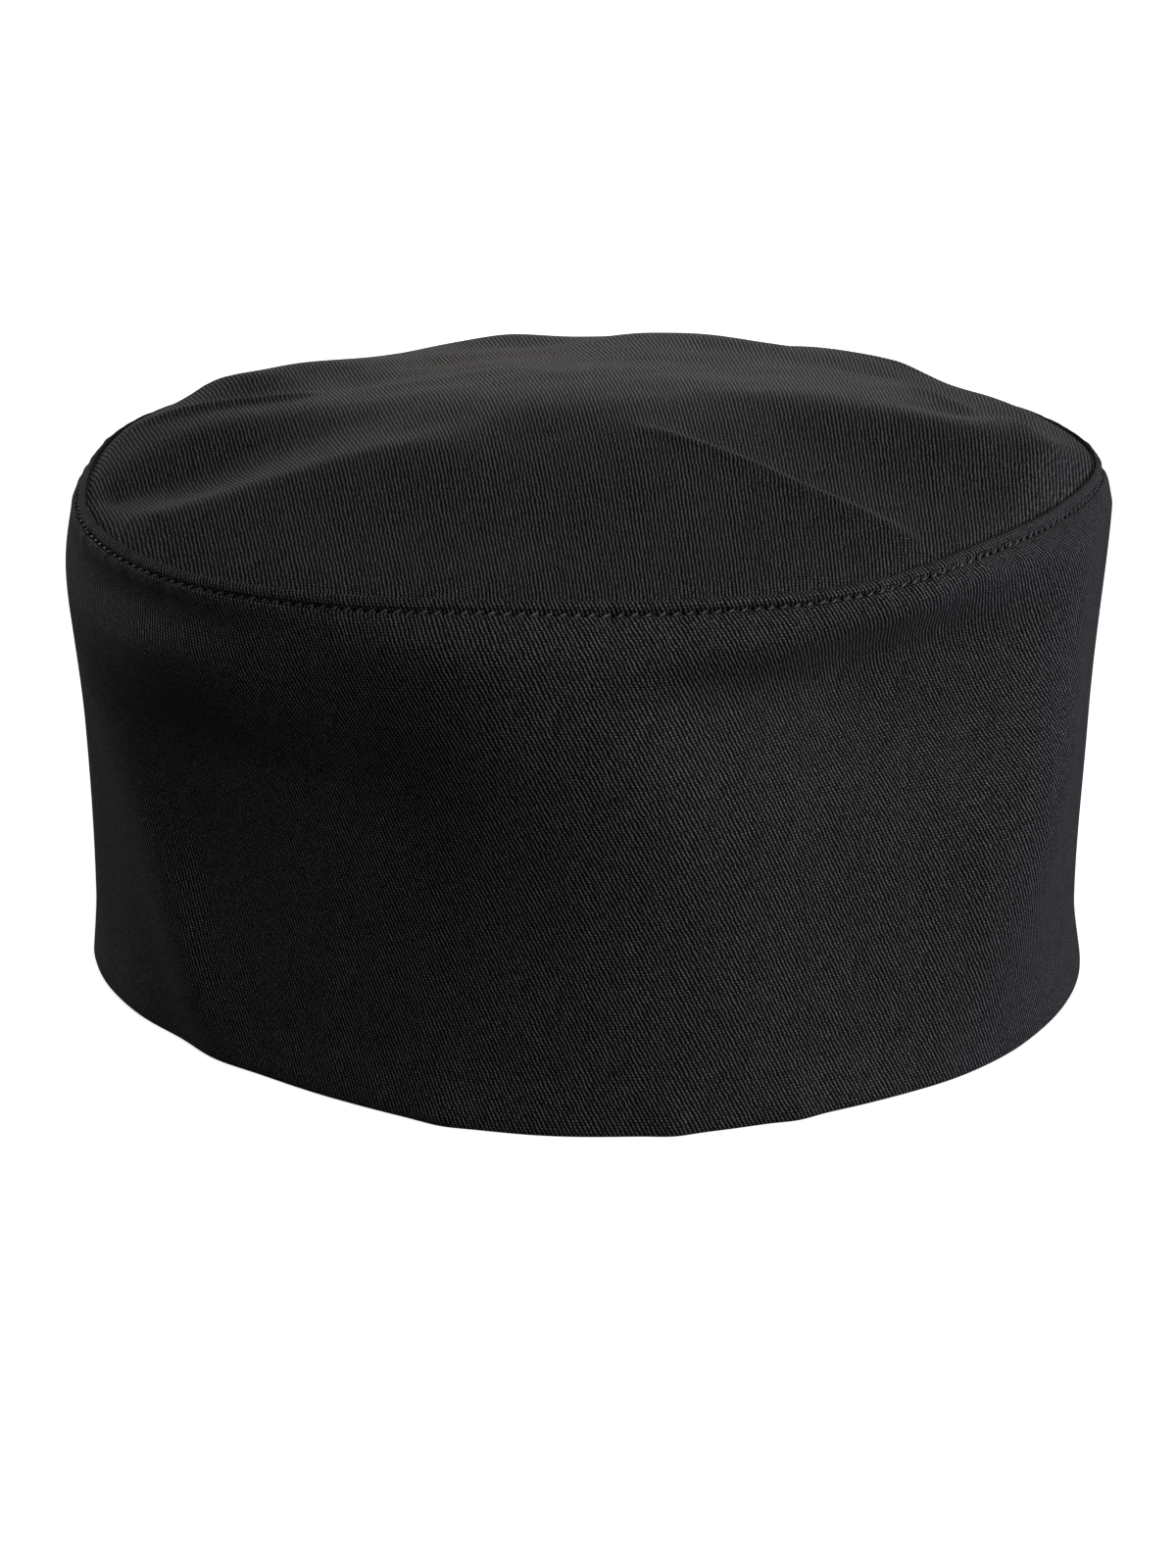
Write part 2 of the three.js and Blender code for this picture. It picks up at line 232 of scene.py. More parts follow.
# The weave: ribs of the twill, and the square of cloth that repeats in the surface's map
BAND_RIB_SPACING = 0.68  # from rib to rib, straight across them
PANEL_RIB_SPACING = 0.735
RIB_TILT = 26.5  # degrees from upright on the band, and in the map of both cloths
PANEL_LEAN = 0.105  # the top's ribs, off front to back
PANEL_FAN = 0.0017  # and how much they fan out for each millimetre across
TILE_RIBS = 72  # ribs along the lower side of the repeating square
TILE_RISES = 33  # and up its left side
BEADS_A_RISE = 3  # beads of yarn along a rib, in the height that carries it one rib across
RIB_SHARPNESS = 3.2  # narrow ribs with painted highlights, and wide gaps in painted shade
BEAD_GAP = 0.22  # how much of its painted highlight a rib keeps between its beads
WEAVE_RELIEF = 0.09  # height of the ribs

# Unevenness of the weave: a higher grain is finer, and offsets of the ribs are in radians
NOISE_RANGE = (0.25, 0.75)  # most of the noise lies between these
STREAK_GRAIN = 6  # wide wanderings of the ribs, with faint patches
STREAK_OFFSET = 0.9
PATCH_STRENGTH = 0.12
WANDER_GRAIN = 40  # short wanderings
WANDER_OFFSET = 0.5
YARN_GRAIN = 46  # bright and dull spots in the painted highlights of the yarn
YARN_NOISE = (0.36, 0.76)  # this part of the noise
YARN_SHADES = (0.3, 3.2)  # gives brightness from the first of these to the second

# Colours and gloss
# The cloth's own near-black, which also serves as the painted shade in the gaps between the ribs, and the
# colours of the painted highlights on the yarn's beads
NEAR_BLACK = (0.0005, 0.0005, 0.0006, 1.0)
PANEL_NEAR_BLACK = (0.0005, 0.0005, 0.0005, 1.0)
BAND_YARN_HIGHLIGHT = (0.165, 0.163, 0.171, 1.0)
PANEL_YARN_HIGHLIGHT = (0.15, 0.149, 0.149, 1.0)
THREAD_BLACK = (0.09, 0.09, 0.095, 1.0)
STAGE_PALE = (0.9, 0.9, 0.9, 1.0)
WHITE = (1.0, 1.0, 1.0, 1.0)
GLOSS_RANGE = (0.2, 0.8)  # of the weave's height, from the gaps' roughness to the yarn's
GAP_ROUGHNESS = 0.9
YARN_ROUGHNESS = 0.55
YARN_SHINE = 0.14
SHEEN = 0.02
SHEEN_ROUGHNESS = 0.4
THREAD_ROUGHNESS = 0.35
THREAD_SHINE = 0.9

# Fineness of the meshes
NEAR_SEAM = 6  # how far the fine rows over the stitching reach down the band
NEAR_ROWS = [(0, 1.6, 0.4), (1.7, 3.1, 0.17), (3.3, 6, 0.5)]  # from, to and step
BAND_COLUMNS = 980  # four for each stitch
BAND_FAR_ROWS = 53
HEM_STEP = 30  # degrees from row to row round the hem
INSIDE_ROWS = 10
FACE_STEPS = 240  # steps down the band's face along which lengths are measured
FACE_GATHER = 1.6  # how much closer together they are near the seam
PANEL_COLUMNS = 560
PANEL_ROWS = 84
POLE_SHARE = 0.002  # the top's innermost row, as a share of the way out to its edge
PANEL_MIDDLE = (0.01, 0.9)  # first and last of its even rows, before those near the edge
PANEL_EDGE_SHARES = [0.91, 0.92, 0.93, 0.94, 0.95, 0.96, 0.968, 0.976, 0.984, 0.99, 0.995, 1.0]
UNDERSIDE_STEP = 5  # the underside has one row for this many of the upper face
STITCH_POINTS = 7  # along each stitch
THREAD_SIDES = 6

# The plain stage, in metres, and the light from all round
STAGE_REACH = 6
WALL_HEIGHT = 4
STAGE_GLOW = 0.84
ROOM_LIGHT = 0.034

# Soft lights that face the cap: places and sizes in metres, power in watts
SoftLight = namedtuple("SoftLight", "name place width height power colour")
SOFT_LIGHTS = [
    SoftLight("white_wall_behind", (0, 1.48, 0.32), 0.45, 0.6, 4.05, (1.0, 0.94, 0.9)),
    SoftLight("wall_back_left", (-0.85, 1.21, 0.32), 0.6, 0.6, 1.2, (1.0, 1.0, 0.97)),
    SoftLight("left", (-1.29, 0.74, 0.27), 0.8, 0.6, 1.93, (0.9, 0.88, 1.0)),
    SoftLight("low_left", (-1.15, 0.96, 0.14), 0.4, 0.3, 2.2, (0.98, 0.92, 1.0)),
    SoftLight("low_right", (1.41, 0.51, 0.11), 0.4, 0.2, 5.7, (0.83, 0.79, 1.0)),
    SoftLight("right", (1.46, -0.21, 0.32), 0.7, 0.7, 4.5, (0.9, 0.9, 1.0)),
    SoftLight("front_right", (1.16, -0.9, 0.37), 0.8, 0.6, 5.8, (0.96, 0.98, 1.0)),
    SoftLight("high_front", (0.32, -1.19, 0.92), 0.8, 0.8, 4.88, (0.99, 1.0, 0.96)),
    SoftLight("overhead", (0, -0.26, 1.54), 0.9, 0.9, 4.78, (0.99, 0.98, 1.0)),
]
LIGHTS_AIM = (0, 0, 0.06)

# The photo's viewpoint, in metres: in front of the cap and above it, looking 19 degrees down
CAMERA_PLACE = (0, -0.850, 0.325)
CAMERA_TILT = 90 - 19  # degrees up from straight down
CAMERA_LENS = 108.9  # millimetres, on a sensor this wide:
CAMERA_SENSOR = 36


def wrapped(degrees):
    """The same angle between -180 and 180 degrees."""
    return (degrees + 180) % 360 - 180


def bump(distance, width):
    """A soft swell: 1 in its middle, and near nothing at twice its width."""
    return np.exp(-((distance / width) ** 2))


def section_value(column, azimuth, table=SECTIONS):
    """One column of a section table at any azimuths, on a smooth closed curve through its rows."""
    values = np.array([getattr(row, column) for row in table], float)
    count = len(values)
    place = (azimuth % 360) / (360 / count)
    row = np.floor(place).astype(int)
    t = place - row
    a, b, c, d = (values[(row + step) % count] for step in (-1, 0, 1, 2))
    return b + 0.5 * t * (c - a + t * (2 * a - 5 * b + 4 * c - d + t * (3 * (b - c) + d - a)))


def curve_at(heights, values, height):
    """A smooth curve through knots, each an array or a number, read at one height per entry."""
    last = len(heights) - 1

    def slope(i):
        low, high = max(i - 1, 0), min(i + 1, last)
        return (values[high] - values[low]) / (heights[high] - heights[low])

    found = values[0] + 0 * height
    for i in range(last):
        span = heights[i + 1] - heights[i]
        t = np.clip((height - heights[i]) / span, 0, 1)
        smooth = t * t * (3 - 2 * t)
        bend = t * (1 - t) * span * ((1 - t) * slope(i) - t * slope(i + 1))
        piece = values[i] + (values[i + 1] - values[i]) * smooth + bend
        found = np.where(height >= heights[i], piece, found)
    return found


def seam_height(azimuth):
    """Height of the seam between band and top, in millimetres."""
    return BAND_HEIGHT + section_value("seam_lift", azimuth)


def seam_radius(azimuth):
    """Distance of the seam from the cap's axis, in millimetres."""
    return BAND_RADIUS + section_value("seam_out", azimuth)


def outside_radius(azimuth, height):
    """Outside radius of the band, in millimetres."""
    top = seam_height(azimuth)
    seam = seam_radius(azimuth)
    roll = BAND_RADIUS + section_value("roll_out", azimuth)
    hem = BAND_RADIUS + section_value("hem_out", azimuth)
    for kink in HEM_KINKS:
        hem = hem + kink.out * bump(wrapped(azimuth - kink.azimuth), kink.half_width)
    radius = curve_at(
        [
            0 * top,
            WAIST_HEIGHT + 0 * top,
            top / 2,
            top - section_value("roll_drop", azimuth),
            top - section_value("shoulder_drop", azimuth),
            top,
        ],
        [
            hem,
            BAND_RADIUS + section_value("waist_out", azimuth),
            BAND_RADIUS + section_value("mid_out", azimuth),
            roll,
            seam + (roll - seam) * SHOULDER_SHARE,
            seam,
        ],
        height,
    )
    held = 1 - bump(top - height, SEAM_HOLD)
    for fold in BAND_FOLDS:
        across = wrapped(azimuth - fold.azimuth - fold.lean * (height - fold.height)) / fold.half_width
        along = (height - fold.height) / fold.half_height
        radius = radius + held * fold.out * np.exp(-across * across - along * along)
    return radius


def panel_height(x, y):
    """Height of the top's upper face, in millimetres."""
    azimuth = np.degrees(np.arctan2(y, x))
    edge = seam_radius(azimuth)
    reach = np.minimum(np.hypot(x, y) / edge, 1)
    shift = 1 - reach * reach
    from_crown = np.minimum(np.hypot(x - CROWN[0] * shift, y - CROWN[1] * shift) / edge, 1)
    height = BAND_HEIGHT + (seam_height(azimuth) - BAND_HEIGHT) * reach * reach
    height += EDGE_RISE * (1 - np.exp(-(edge * (1 - reach)) / EDGE_WIDTH))
    height += (DOME_RISE - EDGE_RISE) * (1 - from_crown**DOME_POWER)
    for column, place in zip(("inner", "middle", "outer"), PANEL_REACHES):
        added = section_value(column, azimuth, PANEL_SECTIONS)
        height += added * bump(reach - place, PANEL_SPREAD) * (1 - reach**SLACK_POWER)
    fade = np.minimum((1 - reach) / FOLD_FADE, 1)
    for fold in PANEL_FOLDS:
        run_x, run_y = fold.to_x - fold.from_x, fold.to_y - fold.from_y
        part = ((x - fold.from_x) * run_x + (y - fold.from_y) * run_y) / (run_x**2 + run_y**2)
        part = np.clip(part, 0, 1)
        across = np.hypot(x - fold.from_x - part * run_x, y - fold.from_y - part * run_y)
        slope = (np.hypot(across, fold.crest) - fold.crest) / fold.skirt
        height += fade * fold.rise * (1 - part * part) * np.exp(-slope)
    return height


def grid_mesh(name, points, uvs, closed_ends=False):
    """A mesh from points[row, column] in millimetres, closed round its columns, with a map in tiles.

    uvs[row, column] has one more column than points, so that the map runs on across the closing edge.
    closed_ends joins the last row to the first, and uvs then has one more row too. Without it one face
    fills the first row and another the last.
    """
    rows, columns = points.shape[:2]
    row = np.arange(rows if closed_ends else rows - 1)[:, None]
    column = np.arange(columns)[None, :]
    next_row = (row + 1) % rows
    next_column = (column + 1) % columns
    quads = np.stack(
        [
            row * columns + column,
            next_row * columns + column,
            next_row * columns + next_column,
            row * columns + next_column,
        ],
        axis=-1,
    ).reshape(-1, 4)
    faces = quads.tolist()
    first_row = list(range(columns))
    last_row = [rows * columns - 1 - i for i in range(columns)]
    if not closed_ends:
        faces += [first_row, last_row]
    mesh = bpy.data.meshes.new(name)
    mesh.from_pydata((points.reshape(-1, 3) * MM).tolist(), [], faces)
    wide = columns + 1
    corners = np.stack(
        [
            row * wide + column,
            (row + 1) * wide + column,
            (row + 1) * wide + column + 1,
            row * wide + column + 1,
        ],
        axis=-1,
    ).reshape(-1)
    if not closed_ends:
        last_corners = [rows * wide - 2 - i for i in range(columns)]
        corners = np.concatenate([corners, first_row, last_corners])
    layer = mesh.uv_layers.new(name="OFBake")
    layer.uv.foreach_set("vector", uvs.reshape(-1, 2)[corners].astype(np.float32).ravel())
    mesh.polygons.foreach_set("use_smooth", [True] * len(mesh.polygons))
    mesh.update()
    return mesh


def placed(name, mesh, material):
    """An object with this mesh and material, which rides on the cap's one body."""
    piece = bpy.data.objects.new(name, mesh)
    bpy.context.scene.collection.objects.link(piece)
    piece.data.materials.append(material)
    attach(piece, "root")
    return piece


def waves(azimuth, table):
    """Unevenness round the cap: the sum of a table's waves."""
    return sum(wave.size * np.sin(np.radians(azimuth) * wave.count + wave.phase) for wave in table)


def swells(distance, table):
    """Height of a table's swells, at a distance from the seam or the join."""
    return sum(swell.rise * bump(distance - swell.place, swell.width) for swell in table)


def stitching_relief(azimuth, below):
    """How far the cloth stands out near the seam: the ridge, the sunk stitch row and small puckers."""
    from_hole = (azimuth / 360 * STITCH_COUNT) % 1 - 0.5
    holes = STITCH_HOLE * bump(from_hole, HOLE_LENGTH) * bump(below - STITCH_ROW, HOLE_WIDTH)
    puckers = PUCKER_RISE * waves(azimuth, PUCKER_WAVES) * bump(below - PUCKER_PLACE, PUCKER_PLACE)
    return swells(below, SEAM_SWELLS) - holes + puckers


def soft_relief(azimuth, below):
    """Slack in the cloth: low, wide waves over the whole band, which lean two ways."""
    one_way = waves(azimuth + SLACK_LEAN * below, SLACK_WAVES)
    other_way = waves(azimuth + CROSSING_LEAN * below, CROSSING_WAVES)
    return (one_way + other_way) * np.clip(below / SLACK_START, 0, 1)


def join_relief(azimuth):
    """The plain join of the strip's ends at the centre back: a groove between two low edges."""
    across = np.radians(np.abs(wrapped(azimuth - BACK))) * BAND_RADIUS
    return swells(across, JOIN_SWELLS)


def edge_sink(azimuth):
    """How deep the top's edge lies below the band's edge: nothing in front and behind, most at the sides."""
    return SIDE_SINK * np.cos(np.radians(azimuth)) ** 2


def band_face(azimuth, below):
    """The band's outer face: radius, height and outward normal (radial and upward).

    azimuth[column] is in degrees. below[row, column] runs along the cloth: a true distance from the seam
    over the stitching, and from there on a share of the way down to the hem, which is at BAND_HEIGHT.
    """
    top = seam_height(azimuth)
    share = np.linspace(0, 1, FACE_STEPS)[:, None] ** FACE_GATHER
    height = top - share * (top - HEM_WALL / 2)
    radius = outside_radius(azimuth + 0 * height, height)
    steps = np.hypot(np.diff(radius, axis=0), np.diff(height, axis=0))
    along = np.vstack([0 * top, np.cumsum(steps, axis=0)])
    slope_r = np.gradient(radius, axis=0)
    slope_z = np.gradient(height, axis=0)
    part = np.clip((below - NEAR_SEAM) / (BAND_HEIGHT - NEAR_SEAM), 0, 1)
    distance = np.where(below < NEAR_SEAM, below, NEAR_SEAM + part * (along[-1] - NEAR_SEAM))

    def read(values):
        columns = range(len(azimuth))
        return np.stack([np.interp(distance[:, j], along[:, j], values[:, j]) for j in columns], axis=1)

    radius, height, out_r, out_z = read(radius), read(height), read(-slope_z), read(slope_r)
    size = np.hypot(out_r, out_z)
    out_r, out_z = out_r / size, out_z / size
    relief = stitching_relief(azimuth, distance) + soft_relief(azimuth, distance) + join_relief(azimuth)
    return radius + relief * out_r, height + relief * out_z, out_r, out_z


def round_z(azimuth, radius, height):
    """Points[row, column] from radii and heights round the Z axis."""
    angle = np.radians(azimuth)
    return np.stack([radius * np.cos(angle), radius * np.sin(angle), height + 0 * radius], axis=-1)


def tiles(along_x, along_y, rib_spacing):
    """Map coordinates, in repeating squares, from distances in millimetres across and up the cloth."""
    tilt = math.radians(RIB_TILT)
    square_width = TILE_RIBS * rib_spacing / math.cos(tilt)
    square_height = TILE_RISES * rib_spacing / math.sin(tilt)
    return np.stack([along_x / square_width, along_y / square_height], axis=-1)


def band_cloth():
    """The doubled side band, from the seam's groove over the outer face, round the hem and up inside."""
    azimuth = BACK + np.arange(BAND_COLUMNS) * 360 / BAND_COLUMNS
    near = np.concatenate([np.arange(*rows) for rows in NEAR_ROWS])
    far = np.linspace(NEAR_SEAM, BAND_HEIGHT, BAND_FAR_ROWS)
    below = np.concatenate([near, far])[:, None] + 0 * azimuth
    radius, height, _, _ = band_face(azimuth, below)
    top = seam_height(azimuth)
    seam = seam_radius(azimuth)
    rows = [(radius[i], height[i]) for i in range(len(below))]

    turn = HEM_WALL / 2
    bottom_r, bottom_z = rows[-1]
    for degrees in range(HEM_STEP, 181, HEM_STEP):  # half way round the folded hem
        angle = math.radians(degrees)
        rows.append((bottom_r - turn + turn * math.cos(angle), bottom_z - turn * math.sin(angle)))

    def inside(height, wall):
        return outside_radius(azimuth, height) - wall, height

    for part in np.linspace(0, 1, INSIDE_ROWS):
        level = INSIDE_START + part * (top - ALLOWANCE_DROP - ALLOWANCE_STEP - INSIDE_START)
        rows.append(inside(level, BAND_WALL))
    for drop in ALLOWANCE_ROWS:
        rows.append(inside(top - drop, BAND_WALL + ALLOWANCE_WALL))
    groove = top - GROOVE_DEPTH - edge_sink(azimuth)
    rows += [(seam - inset, groove - drop) for inset, drop in GROOVE_FLOOR]
    rows += [(seam - inset, top - drop) for inset, drop in GROOVE_SIDE]

    points = round_z(azimuth, np.array([r for r, z in rows]), np.array([z for r, z in rows]))
    lengths = np.linalg.norm(np.diff(points, axis=0, append=points[:1]), axis=2)
    lengths[: len(below) - 1] = np.diff(below, axis=0)
    lengths = np.concatenate([lengths, lengths[:, :1]], axis=1)
    up = -np.vstack([0 * lengths[:1], np.cumsum(lengths, axis=0)])
    across = np.radians(np.append(azimuth, BACK + 360)) * BAND_RADIUS + 0 * up
    uvs = tiles(across, up, BAND_RIB_SPACING)
    return grid_mesh("band_cloth", points, uvs, closed_ends=True)


def panel_relief(x, y):
    """Slack in the top and its fine creases: low soft waves and thin crests, in millimetres."""
    relief = 0.18 * np.sin(x / 6.5 + 0.05 * y) * np.sin(y / 8.5 - 0.06 * x + 1)
    relief += 0.1 * np.sin(x / 3.9 - y / 7.1) * np.sin(y / 4.7 + x / 9.3 + 2)
    for crease in PANEL_CREASES:
        run_x, run_y = crease.to_x - crease.from_x, crease.to_y - crease.from_y
        length = math.hypot(run_x, run_y)
        part = ((x - crease.from_x) * run_x + (y - crease.from_y) * run_y) / length**2
        across = ((x - crease.from_x) * run_y - (y - crease.from_y) * run_x) / length
        fade = np.clip(1 - np.abs(2 * part - 1) ** 3, 0, 1)  # 0 at both ends
        relief += crease.rise * fade * bump(across, crease.half_width)
    return relief


def panel_cloth():
    """The round top, from its crown out to the edge in the seam's groove and back underneath."""
    azimuth = BACK + np.arange(PANEL_COLUMNS) * 360 / PANEL_COLUMNS
    seam = seam_radius(azimuth)
    middle_shares = np.linspace(*PANEL_MIDDLE, PANEL_ROWS)
    share = np.concatenate([[POLE_SHARE], middle_shares, PANEL_EDGE_SHARES])[:, None]
    radius = share * (seam - SEAM_GAP / 2)
    angle = np.radians(azimuth)
    x, y = radius * np.cos(angle), radius * np.sin(angle)
    height = panel_height(x, y) + panel_relief(x, y) * np.minimum((1 - share) / RELIEF_FADE, 1)
    height -= edge_sink(azimuth) * bump(seam * (1 - share), SINK_WIDTH)
    top = seam_height(azimuth) - edge_sink(azimuth)
    edge_r = [seam - inset for inset, _ in PANEL_EDGE]
    edge_z = [top - drop for _, drop in PANEL_EDGE]
    under = slice(None, None, -UNDERSIDE_STEP)
    radius = np.vstack([radius, edge_r, radius[under]])
    height = np.vstack([height, edge_z, height[under] - PANEL_WALL])
    points = round_z(azimuth, radius, height)

    x, y = points[..., 0], points[..., 1]
    leaned = x + y * (PANEL_LEAN - PANEL_FAN * x)
    turn = math.radians(RIB_TILT)  # the map's ribs slant, so the map is turned until they run front to back
    across = leaned * math.cos(turn) - y * math.sin(turn)
    up = leaned * math.sin(turn) + y * math.cos(turn)
    uvs = tiles(across, up, PANEL_RIB_SPACING)
    uvs = np.concatenate([uvs, uvs[:, :1]], axis=1)
    return grid_mesh("panel_cloth", points, uvs)


def stitching():
    """The topstitching as one mesh of short threads whose ends dive into the cloth."""
    along = np.linspace(-1, 1, STITCH_POINTS)
    half_length = STITCH_LENGTH / STITCH_PITCH / 2
    azimuth = (np.arange(STITCH_COUNT)[:, None] + along * half_length).ravel() * 360 / STITCH_COUNT
    spread = np.tile(along, STITCH_COUNT)
    below = (STITCH_ROW - STITCH_SLANT * spread)[None, :]
    radius, height, out_r, out_z = band_face(azimuth, below)
    lift = THREAD_RISE - THREAD_DIVE * np.abs(spread) ** 3
    angle = np.radians(azimuth)
    outward = np.stack([out_r[0] * np.cos(angle), out_r[0] * np.sin(angle), out_z[0]], axis=-1)
    centres = round_z(azimuth, radius, height)[0] + outward * lift[:, None]
    centres = centres.reshape(STITCH_COUNT, STITCH_POINTS, 3)
    outward = outward.reshape(STITCH_COUNT, STITCH_POINTS, 3)
    tangent = np.gradient(centres, axis=1)
    tangent /= np.linalg.norm(tangent, axis=2, keepdims=True)
    side = np.cross(tangent, outward)
    side /= np.linalg.norm(side, axis=2, keepdims=True)
    outward = np.cross(side, tangent)
    thickness = THREAD_RADIUS * np.sqrt(1.05 - along**6)[None, :, None]  # thin at both ends
    edges = []
    for k in range(THREAD_SIDES):
        turn = 2 * math.pi * k / THREAD_SIDES
        edges.append(centres + thickness * (math.cos(turn) * side + math.sin(turn) * outward))
    vertices = np.stack(edges, axis=2).reshape(-1, 3)
    faces = []
    for stitch in range(STITCH_COUNT):
        start = stitch * STITCH_POINTS * THREAD_SIDES
        end = start + (STITCH_POINTS - 1) * THREAD_SIDES
        for ring in range(start, end, THREAD_SIDES):
            for k in range(THREAD_SIDES):
                a = ring + k
                b = ring + (k + 1) % THREAD_SIDES
                faces.append((a, a + THREAD_SIDES, b + THREAD_SIDES, b))
        faces.append(tuple(start + k for k in range(THREAD_SIDES)))
        faces.append(tuple(end + k for k in reversed(range(THREAD_SIDES))))
    mesh = bpy.data.meshes.new("topstitching")
    mesh.from_pydata((vertices * MM).tolist(), [], faces)
    mesh.polygons.foreach_set("use_smooth", [True] * len(mesh.polygons))
    mesh.update()
    return mesh


class Nodes:
    """Short names for the node calls that the materials below repeat."""

    def __init__(self, name):
        self.material = bpy.data.materials.new(name)
        self.material.use_nodes = True
        self.tree = self.material.node_tree
        self.shader = self.tree.nodes["Principled BSDF"]

    def add(self, kind, **settings):
        node = self.tree.nodes.new(kind)
        for key, value in settings.items():
            setattr(node, key, value)
        return node

    def feed(self, socket, value):
        if isinstance(value, (int, float, tuple)):
            socket.default_value = value
        else:
            self.tree.links.new(value, socket)

    def math(self, operation, *values):
        node = self.add("ShaderNodeMath", operation=operation)
        for socket, value in zip(node.inputs, values):
            self.feed(socket, value)
        return node.outputs[0]

    def ramp(self, value, low, high, to_low, to_high):
        node = self.add("ShaderNodeMapRange")
        for socket, part in zip(node.inputs, (value, low, high, to_low, to_high)):
            self.feed(socket, part)
        return node.outputs[0]

    def mix(self, factor, first, second):
        node = self.add("ShaderNodeMix", data_type="RGBA")
        self.feed(node.inputs[0], factor)
        self.feed(node.inputs[6], first)
        self.feed(node.inputs[7], second)
        return node.outputs[2]


def square_noise(nodes, across, up, grain):
    """Noise between 0 and 1 that repeats with the square: across and up are its angles in radians."""
    noise = nodes.add("ShaderNodeTexNoise", noise_dimensions="4D")
    place = nodes.add("ShaderNodeCombineXYZ")
    nodes.feed(place.inputs[0], nodes.math("MULTIPLY", nodes.math("COSINE", across), grain))
    nodes.feed(place.inputs[1], nodes.math("MULTIPLY", nodes.math("SINE", across), grain))
    nodes.feed(place.inputs[2], nodes.math("MULTIPLY", nodes.math("COSINE", up), grain))
    nodes.feed(noise.inputs["Vector"], place.outputs[0])
    nodes.feed(noise.inputs["W"], nodes.math("MULTIPLY", nodes.math("SINE", up), grain))
    nodes.feed(noise.inputs["Scale"], 1.0)
    nodes.feed(noise.inputs["Detail"], 0.0)
    return noise.outputs[0]


def twill(name, dark, light):
    """Twill cloth: slanting ribs of rounded beads of yarn, which repeat over the squares of the map. The
    base colour paints the weave's light and shade on the cloth's own black: painted shade in the gaps
    between the ribs and painted highlights on the beads.
    """
    nodes = Nodes(name)
    square = nodes.add("ShaderNodeUVMap", uv_map="OFBake")
    parts = nodes.add("ShaderNodeSeparateXYZ")
    nodes.feed(parts.inputs[0], square.outputs[0])
    across = nodes.math("MULTIPLY", parts.outputs[0], 2 * math.pi)
    up = nodes.math("MULTIPLY", parts.outputs[1], 2 * math.pi)
    rise_phase = nodes.math("MULTIPLY", up, TILE_RISES)
    rib_phase = nodes.math("ADD", nodes.math("MULTIPLY", across, TILE_RIBS), rise_phase)
    streak_noise = square_noise(nodes, across, up, STREAK_GRAIN)
    streaks = nodes.ramp(streak_noise, *NOISE_RANGE, -STREAK_OFFSET, STREAK_OFFSET)
    rib_phase = nodes.math("ADD", rib_phase, streaks)
    wander_noise = square_noise(nodes, across, up, WANDER_GRAIN)
    wander = nodes.ramp(wander_noise, *NOISE_RANGE, -WANDER_OFFSET, WANDER_OFFSET)
    rib_phase = nodes.math("ADD", rib_phase, wander)
    rib = nodes.ramp(nodes.math("COSINE", rib_phase), -1.0, 1.0, 0.0, 1.0)
    bead_phase = nodes.math("MULTIPLY", rise_phase, BEADS_A_RISE)
    bead = nodes.ramp(nodes.math("COSINE", bead_phase), -1.0, 1.0, BEAD_GAP, 1.0)
    weave = nodes.math("MULTIPLY", nodes.math("POWER", rib, RIB_SHARPNESS), bead)
    grain = nodes.ramp(square_noise(nodes, across, up, YARN_GRAIN), *YARN_NOISE, *YARN_SHADES)
    patches = nodes.math("ADD", nodes.math("MULTIPLY", streaks, PATCH_STRENGTH), 1.0)
    shade = nodes.math("MULTIPLY", nodes.math("MULTIPLY", weave, grain), patches)
    roughness = nodes.ramp(weave, *GLOSS_RANGE, GAP_ROUGHNESS, YARN_ROUGHNESS)

    # Base colour: painted shade in the gaps between the ribs and painted highlights on the beads, over the
    # cloth's near-black
    nodes.feed(nodes.shader.inputs["Base Color"], nodes.mix(shade, dark, light))
    nodes.feed(nodes.shader.inputs["Roughness"], roughness)
    nodes.feed(nodes.shader.inputs["Specular IOR Level"], YARN_SHINE)
    nodes.feed(nodes.shader.inputs["Sheen Weight"], SHEEN)
    nodes.feed(nodes.shader.inputs["Sheen Roughness"], SHEEN_ROUGHNESS)
    nodes.feed(nodes.shader.inputs["Sheen Tint"], WHITE)
    relief = nodes.add("ShaderNodeBump")
    nodes.feed(relief.inputs["Strength"], 1.0)
    nodes.feed(relief.inputs["Distance"], WEAVE_RELIEF * MM)
    nodes.feed(relief.inputs["Height"], weave)
    nodes.feed(nodes.shader.inputs["Normal"], relief.outputs[0])
    return nodes.material


def thread():
    """Black thread of the topstitching, smoother than the cloth, so that it catches the light."""
    nodes = Nodes("black_thread")
    nodes.feed(nodes.shader.inputs["Base Color"], THREAD_BLACK)
    nodes.feed(nodes.shader.inputs["Roughness"], THREAD_ROUGHNESS)
    nodes.feed(nodes.shader.inputs["Specular IOR Level"], THREAD_SHINE)
    return nodes.material


def stage_material():
    """A pale matt surface with a glow of its own, so that it comes out nearly white."""
    nodes = Nodes("pale_floor")
    nodes.feed(nodes.shader.inputs["Base Color"], STAGE_PALE)
    nodes.feed(nodes.shader.inputs["Emission Color"], WHITE)
    nodes.feed(nodes.shader.inputs["Emission Strength"], STAGE_GLOW)
    nodes.feed(nodes.shader.inputs["Roughness"], 0.9)
    nodes.feed(nodes.shader.inputs["Specular IOR Level"], 0.1)
    return nodes.material


def staged(name, corners, faces, material):
    """A part of the stage, which shows but doesn't light the cap."""
    mesh = bpy.data.meshes.new(name)
    mesh.from_pydata(corners, [], faces)
    mesh.materials.append(material)
    piece = bpy.data.objects.new(name, mesh)
    bpy.context.scene.collection.objects.link(piece)
    piece.visible_diffuse = False
    piece.visible_glossy = False
    return piece


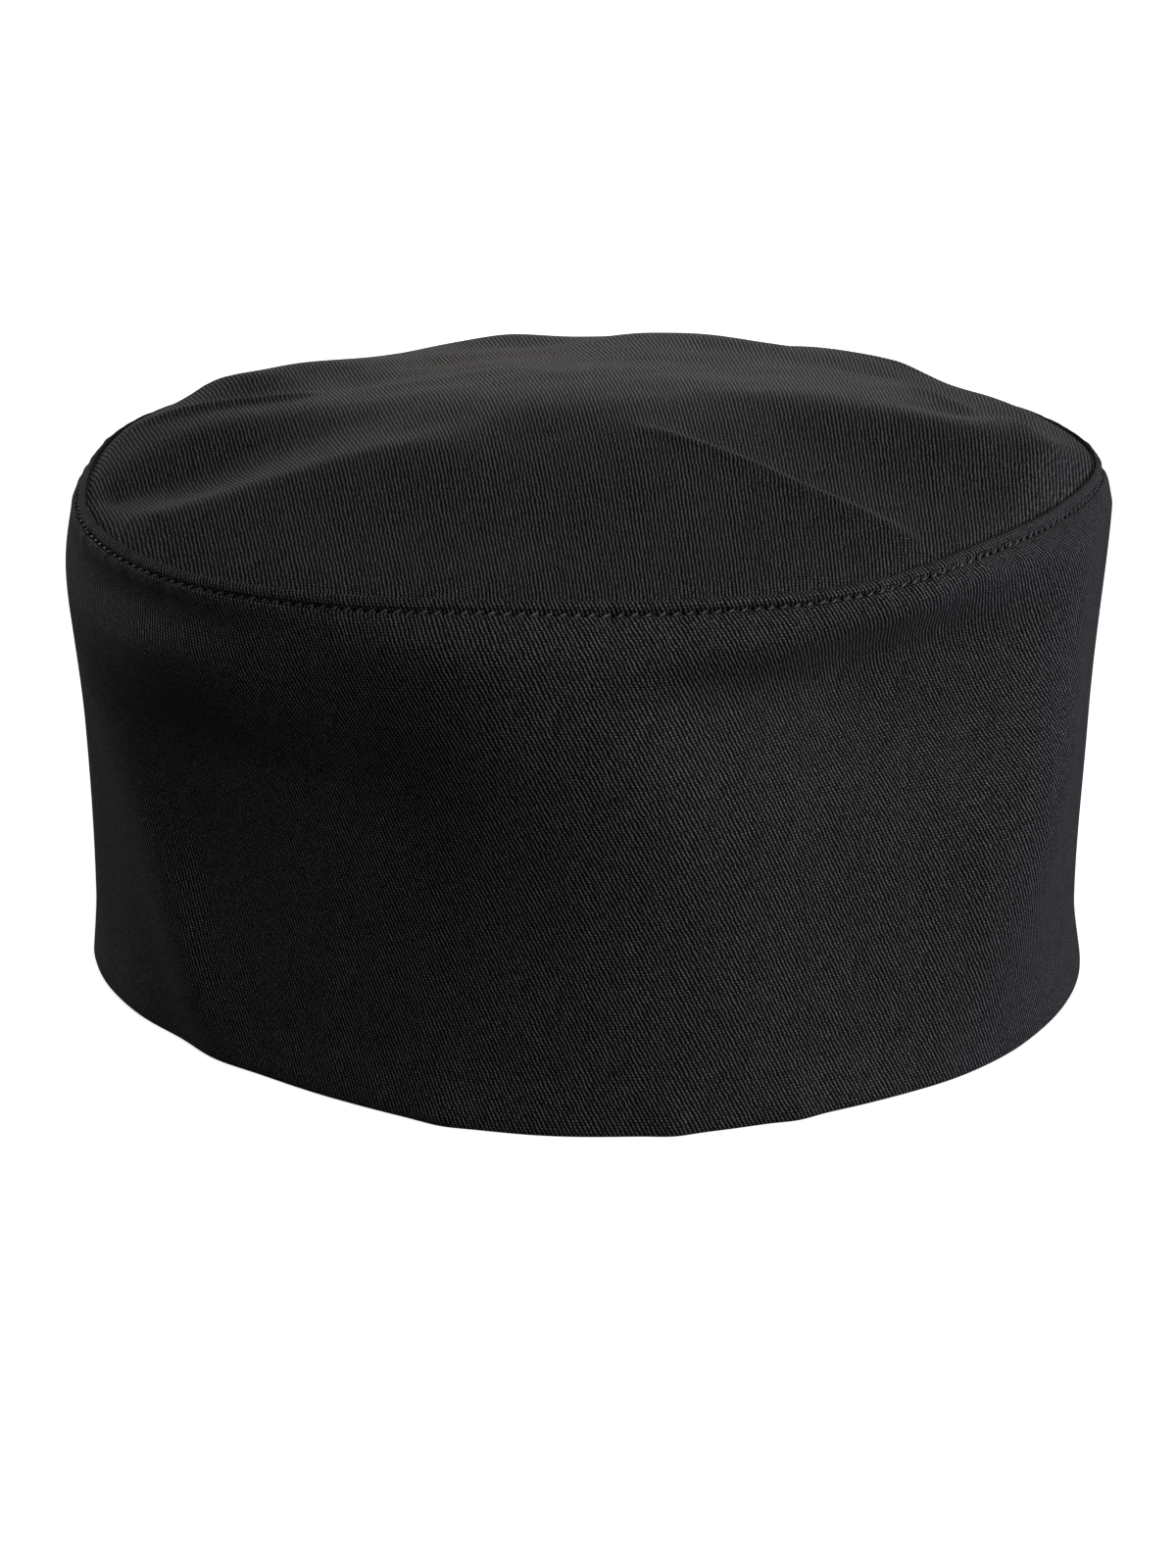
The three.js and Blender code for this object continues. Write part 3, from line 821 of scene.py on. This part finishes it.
def stage():
    """The plain pale surface that the cap rests on, and a plain wall far round it."""
    pale = stage_material()
    floor = [(x * STAGE_REACH, y * STAGE_REACH, 0) for x, y in ((-1, -1), (1, -1), (1, 1), (-1, 1))]
    staged("floor", floor, [(0, 1, 2, 3)], pale)
    raised = [(x, y, WALL_HEIGHT) for x, y, _ in floor]
    walls = [(i, (i + 1) % 4, 4 + (i + 1) % 4, 4 + i) for i in range(4)]
    backdrop = staged("backdrop", floor + raised, walls, pale)
    backdrop.visible_shadow = False


def soft_light(light):
    """A rectangular area light that faces the cap, from one row of the table."""
    lamp = bpy.data.lights.new(light.name, "AREA")
    lamp.shape = "RECTANGLE"
    lamp.size = light.width
    lamp.size_y = light.height
    lamp.energy = light.power
    lamp.color = light.colour
    piece = bpy.data.objects.new(light.name, lamp)
    bpy.context.scene.collection.objects.link(piece)
    piece.location = light.place
    towards = Vector(LIGHTS_AIM) - Vector(light.place)
    piece.rotation_euler = towards.to_track_quat("-Z", "Y").to_euler()
    piece.visible_camera = False


def surroundings():
    """Even white light from all round."""
    world = bpy.data.worlds.new("white_room")
    world.use_nodes = True
    background = world.node_tree.nodes["Background"]
    background.inputs[0].default_value = WHITE
    background.inputs[1].default_value = ROOM_LIGHT
    bpy.context.scene.world = world


def viewpoint():
    """The camera, where the photo was taken from."""
    view_from = bpy.data.cameras.new("camera")
    view_from.lens = CAMERA_LENS
    view_from.sensor_width = CAMERA_SENSOR
    camera = bpy.data.objects.new("camera", view_from)
    bpy.context.scene.collection.objects.link(camera)
    camera.location = CAMERA_PLACE
    camera.rotation_euler = (math.radians(CAMERA_TILT), 0, 0)
    bpy.context.scene.camera = camera


band_twill = twill("band_twill", NEAR_BLACK, BAND_YARN_HIGHLIGHT)
panel_twill = twill("panel_twill", PANEL_NEAR_BLACK, PANEL_YARN_HIGHLIGHT)

band = placed("band_cloth", band_cloth(), band_twill)
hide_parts("side_band")
panel = placed("panel_cloth", panel_cloth(), panel_twill)
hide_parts("top_panel")
placed("topstitching", stitching(), thread())

stage()
surroundings()
for light in SOFT_LIGHTS:
    soft_light(light)
viewpoint()
bpy.context.scene.view_settings.view_transform = "Standard"
